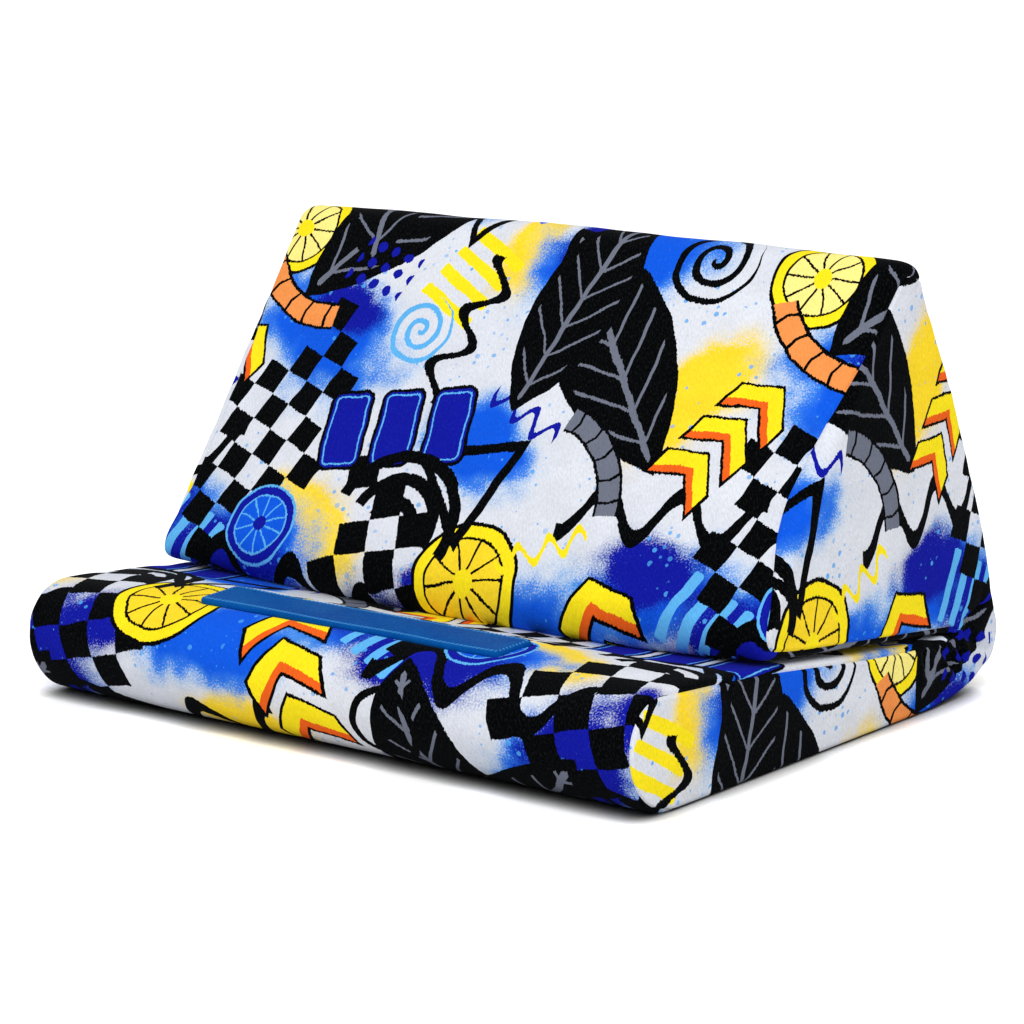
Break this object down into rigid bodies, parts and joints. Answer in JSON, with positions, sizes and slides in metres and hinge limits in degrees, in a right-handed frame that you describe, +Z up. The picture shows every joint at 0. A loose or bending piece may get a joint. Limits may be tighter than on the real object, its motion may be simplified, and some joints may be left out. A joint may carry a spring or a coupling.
{
  "type": "tablet cushion stand",
  "caption": "Soft tablet stand: a foam wedge on a foam base pad with a rounded front, in one sewn plush cover, with a flat strip on the pad's front crown.",
  "frame": {"origin": "bottom centre of the stand, on the surface it rests on", "axes": "+X to the right as the user faces the tablet, +Y to the back, +Z up"},
  "size_m": [0.34, 0.2971, 0.2112],
  "materials": {
    "printed_plush": "short printed plush",
    "cut_foam": "cut open-cell foam",
    "blue_leatherette": "fine-grained leatherette",
    "stiffener_board": "plain board"
  },
  "bodies": {
    "root": {"wedge_front_panel": "printed_plush", "back_panel": "printed_plush", "base_top_panel": "printed_plush", "underside_panel": "printed_plush", "wedge_end_left": "printed_plush", "wedge_end_right": "printed_plush", "base_end_left": "printed_plush", "base_end_right": "printed_plush", "wedge_foam_core": "cut_foam", "base_foam_core": "cut_foam", "strip_cover": "blue_leatherette", "strip_padding": "stiffener_board"}
  },
  "joints": []
}
